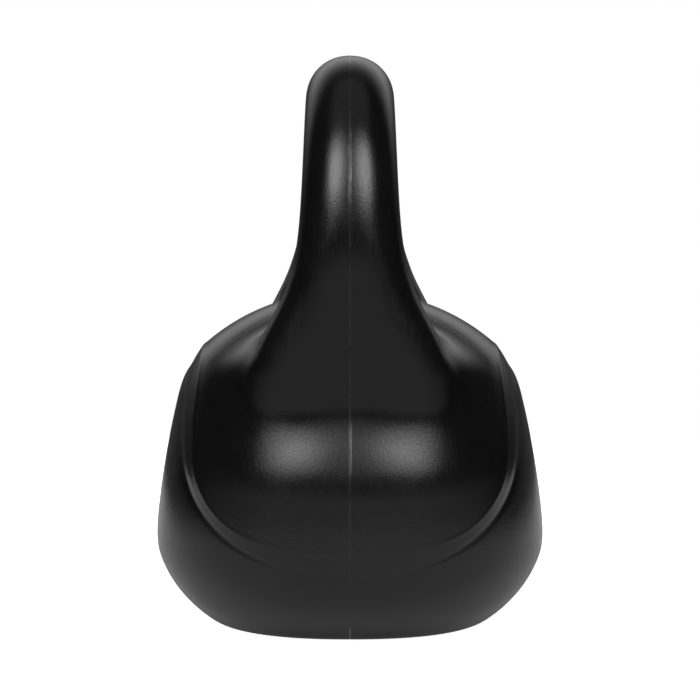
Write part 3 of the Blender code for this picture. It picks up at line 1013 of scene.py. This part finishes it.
def cast_cement(settings):
    """Cement with mineral grains: Voronoi cells tint it, and noise pits its surface."""
    finish, tree, shader, vector = new_finish("cast_cement")
    cells = add_node(tree, "ShaderNodeTexVoronoi", Scale=420.0, Vector=vector)
    pits = scaled_noise(tree, vector, 900.0, 6.0)
    clouds = scaled_noise(tree, vector, 35.0, 5.0)
    mask = mixed(tree, cells.outputs["Distance"], clouds, 0.5)
    colour = tuple(settings.ballast_colour)
    dark = tuple(0.6 * part for part in colour)
    light = tuple(min(1.0, 1.25 * part) for part in colour)
    tint = mixed_colour(tree, ranged(tree, mask, 0.2, 0.65, 0.0, 1.0), dark, light)
    rough = ranged(tree, clouds, 0.3, 0.7, 0.82, 0.96)
    set_node(tree, shader, Base_Color=tint, Roughness=rough)
    height = mixed(tree, pits, cells.outputs["Distance"], 0.4)
    add_bump(tree, shader, height, 0.0006, 0.8)
    return finish


def rolled_steel(settings):
    """Rolled steel: cloudy mill scale with rust in its low spots, over brushed metal."""
    finish, tree, shader, vector = new_finish("rolled_steel")
    scale = scaled_noise(tree, vector, 120.0, 6.0)
    fine = scaled_noise(tree, vector, 1400.0, 3.0, (1.0, 1.0, 0.3))
    colour = tuple(settings.bar_colour)
    mask = ranged(tree, scale, 0.55, 0.72, 0.0, 1.0)
    set_node(tree, shader, Base_Color=mixed_colour(tree, mask, colour, RUST),
             Roughness=ranged(tree, mask, 0.0, 1.0, 0.38, 0.80),
             Metallic=ranged(tree, mask, 0.0, 1.0, 0.90, 0.15))
    add_bump(tree, shader, mixed(tree, fine, scale, 0.5), 0.00015, 0.6)
    return finish


# ---------------------------------------------------------------- the studio


def bearing(turn, height):
    """Unit vector at an azimuth, of which 0 is -Y and 90 degrees +X, and an elevation."""
    flat = math.cos(height)
    return Vector((math.sin(turn) * flat, -math.cos(turn) * flat, math.sin(height)))


def aim(thing, target):
    """Turn a light or a camera to look at a point."""
    look = target - thing.location
    thing.rotation_mode = "QUATERNION"
    thing.rotation_quaternion = look.to_track_quat("-Z", "Y")


def add_softbox(name, turn, height, far, size, power, target):
    """A soft round light that faces the kettlebell."""
    lamp = bpy.data.lights.new(name, "AREA")
    lamp.shape = "DISK"
    lamp.size = size
    lamp.energy = power
    box = bpy.data.objects.new(name, lamp)
    box.location = target + bearing(turn, height) * far
    aim(box, target)
    bpy.context.scene.collection.objects.link(box)
    return box


def add_floor(settings):
    """A round pale floor: rings of points whose radius grows by the square of the step."""
    rings = (np.linspace(0.02, 1.0, FLOOR_RINGS) ** 2)[:, None] * settings.floor_radius
    around = np.linspace(0.0, 2.0 * math.pi, FLOOR_SIDES, endpoint=False)[None, :]
    flat = np.zeros((FLOOR_RINGS, FLOOR_SIDES))
    points = np.stack([rings * np.cos(around), rings * np.sin(around), flat], axis=-1)
    index = np.arange(flat.size).reshape(flat.shape)
    side = np.roll(index, -1, axis=1)
    quads = np.stack([index[:-1], index[1:], side[1:], side[:-1]], axis=-1).reshape(-1, 4)
    mesh = bpy.data.meshes.new("pale_floor")
    mesh.from_pydata(points.reshape(-1, 3).tolist(), [], quads.tolist() + [index[0].tolist()])
    finish, tree, shader, vector = new_finish("pale_floor")
    clouds = scaled_noise(tree, vector, 3.0, 3.0)
    light = tuple(settings.floor_colour)
    dark = tuple(0.985 * part for part in light)
    path = add_node(tree, "ShaderNodeLightPath")
    seen = ranged(tree, path.outputs["Is Camera Ray"], 0.0, 1.0, *FLOOR_GLOW)
    set_node(tree, shader, Base_Color=mixed_colour(tree, clouds, dark, light), Roughness=0.85,
             Specular_IOR_Level=0.1, Emission_Color=WHITE, Emission_Strength=seen)
    mesh.materials.append(finish)
    floor = bpy.data.objects.new("pale_floor", mesh)
    bpy.context.scene.collection.objects.link(floor)


def glow(tree, parts, side, height, strength, low):
    """A soft patch of light in the surroundings: it comes in along X, fades out upwards, and
    is weaker towards the floor."""
    along = ranged(tree, parts.outputs["X"], *side, 0.03, 1.0)
    upward = ranged(tree, parts.outputs["Z"], *height, strength, 0.02)
    above_floor = ranged(tree, parts.outputs["Z"], *low)
    level = combined(tree, along, upward, "MULTIPLY")
    return combined(tree, level, above_floor, "MULTIPLY")


def patch(tree, direction, centre, inner, outer, strength):
    """A round patch of light: full within the inner angle of its centre, none past the outer."""
    toward = add_node(tree, "ShaderNodeVectorMath", operation="DOT_PRODUCT")
    toward.inputs[1].default_value = centre
    tree.links.new(direction, toward.inputs[0])
    fade = add_node(tree, "ShaderNodeMapRange", interpolation_type="SMOOTHSTEP",
                    Value=toward.outputs["Value"], From_Min=math.cos(outer),
                    From_Max=math.cos(inner), To_Max=strength)
    return fade.outputs["Result"]


def add_surroundings(settings):
    """Soft surroundings: pale behind, dim in front and dark at the sides, with a round patch
    about each softbox, between them and overhead, and plain white where the camera looks past
    the kettlebell."""
    world = bpy.data.worlds.new("studio")
    world.use_nodes = True
    tree = world.node_tree
    back = tree.nodes["Background"]
    direction = add_node(tree, "ShaderNodeTexCoord").outputs["Generated"]
    parts = add_node(tree, "ShaderNodeSeparateXYZ", Vector=direction)
    front, behind = (glow(tree, parts, *numbers) for numbers in GLOWS)
    light = combined(tree, front, behind, "MAXIMUM")
    for turn, height, inner, outer, strength in PATCHES:
        centre = bearing(settings.view_turn + math.radians(turn), math.radians(height))
        near = patch(tree, direction, centre, math.radians(inner), math.radians(outer),
                     strength)
        light = combined(tree, light, near, "ADD")
    set_node(tree, back, Color=WHITE, Strength=light)
    white = add_node(tree, "ShaderNodeBackground", Color=WHITE, Strength=1.0)
    chosen = add_node(tree, "ShaderNodeMixShader")
    path = add_node(tree, "ShaderNodeLightPath")
    tree.links.new(path.outputs["Is Camera Ray"], chosen.inputs[0])
    tree.links.new(back.outputs[0], chosen.inputs[1])
    tree.links.new(white.outputs[0], chosen.inputs[2])
    tree.links.new(chosen.outputs[0], tree.nodes["World Output"].inputs["Surface"])
    bpy.context.scene.world = world


class KETTLEBELL_OT_stage(bpy.types.Operator):
    """Set the floor, the lights and the camera"""

    bl_idname = "kettlebell.stage"
    bl_label = "Studio"

    def execute(self, context):
        settings = context.scene.kettlebell_studio
        add_floor(settings)
        add_surroundings(settings)
        target = Vector((0.0, 0.0, settings.target_z))
        for name, turn in (("softbox_left", -1.0), ("softbox_right", 1.0)):
            angle = settings.view_turn + turn * settings.key_turn
            add_softbox(name, angle, settings.key_height, SOFTBOX_FAR, SOFTBOX_SIZE,
                        settings.key_power, target)
        data = bpy.data.cameras.new("view")
        data.sensor_width = 36.0
        data.lens = settings.focal
        data.clip_start = 0.05
        data.clip_end = 60.0
        camera = bpy.data.objects.new("view", data)
        look = bearing(settings.view_turn, settings.view_height)
        camera.location = target + look * settings.view_far
        aim(camera, target)
        context.scene.collection.objects.link(camera)
        context.scene.camera = camera
        context.scene.view_settings.view_transform = "Standard"
        context.scene.view_settings.look = "None"
        return {"FINISHED"}


class KETTLEBELL_PT_panel(bpy.types.Panel):
    """Sizes and finishes of the kettlebell, and a button for each of its parts"""

    bl_idname = "KETTLEBELL_PT_panel"
    bl_label = "Kettlebell"
    bl_space_type = "VIEW_3D"
    bl_region_type = "UI"
    bl_category = "Kettlebell"

    def draw(self, context):
        scene = context.scene
        layout = self.layout
        for settings in (scene.kettlebell_shell, scene.kettlebell_filling,
                         scene.kettlebell_studio):
            box = layout.box()
            for name in settings.bl_rna.properties.keys():
                if name not in ("rna_type", "name"):
                    box.prop(settings, name)
        for operator in OPERATORS:
            layout.operator(operator.bl_idname)


SETTINGS = {
    "kettlebell_shell": ShellSettings,
    "kettlebell_filling": FillingSettings,
    "kettlebell_studio": StudioSettings,
}
OPERATORS = (
    KETTLEBELL_OT_shells,
    KETTLEBELL_OT_ballast,
    KETTLEBELL_OT_handle_bar,
    KETTLEBELL_OT_plug,
    KETTLEBELL_OT_stage,
)


def register():
    """Register the classes and hang the settings on the scene."""
    for made in (*SETTINGS.values(), *OPERATORS, KETTLEBELL_PT_panel):
        bpy.utils.register_class(made)
    for name, group in SETTINGS.items():
        setattr(bpy.types.Scene, name, bpy.props.PointerProperty(type=group))


def unregister():
    """Take the settings off the scene and unregister the classes."""
    for name in SETTINGS:
        delattr(bpy.types.Scene, name)
    for made in (KETTLEBELL_PT_panel, *reversed(OPERATORS), *SETTINGS.values()):
        bpy.utils.unregister_class(made)


def main():
    """Make every part in order."""
    register()
    bpy.ops.kettlebell.shells()
    bpy.ops.kettlebell.ballast()
    bpy.ops.kettlebell.handle_bar()
    bpy.ops.kettlebell.plug()
    bpy.ops.kettlebell.stage()


if __name__ == "__main__":
    main()
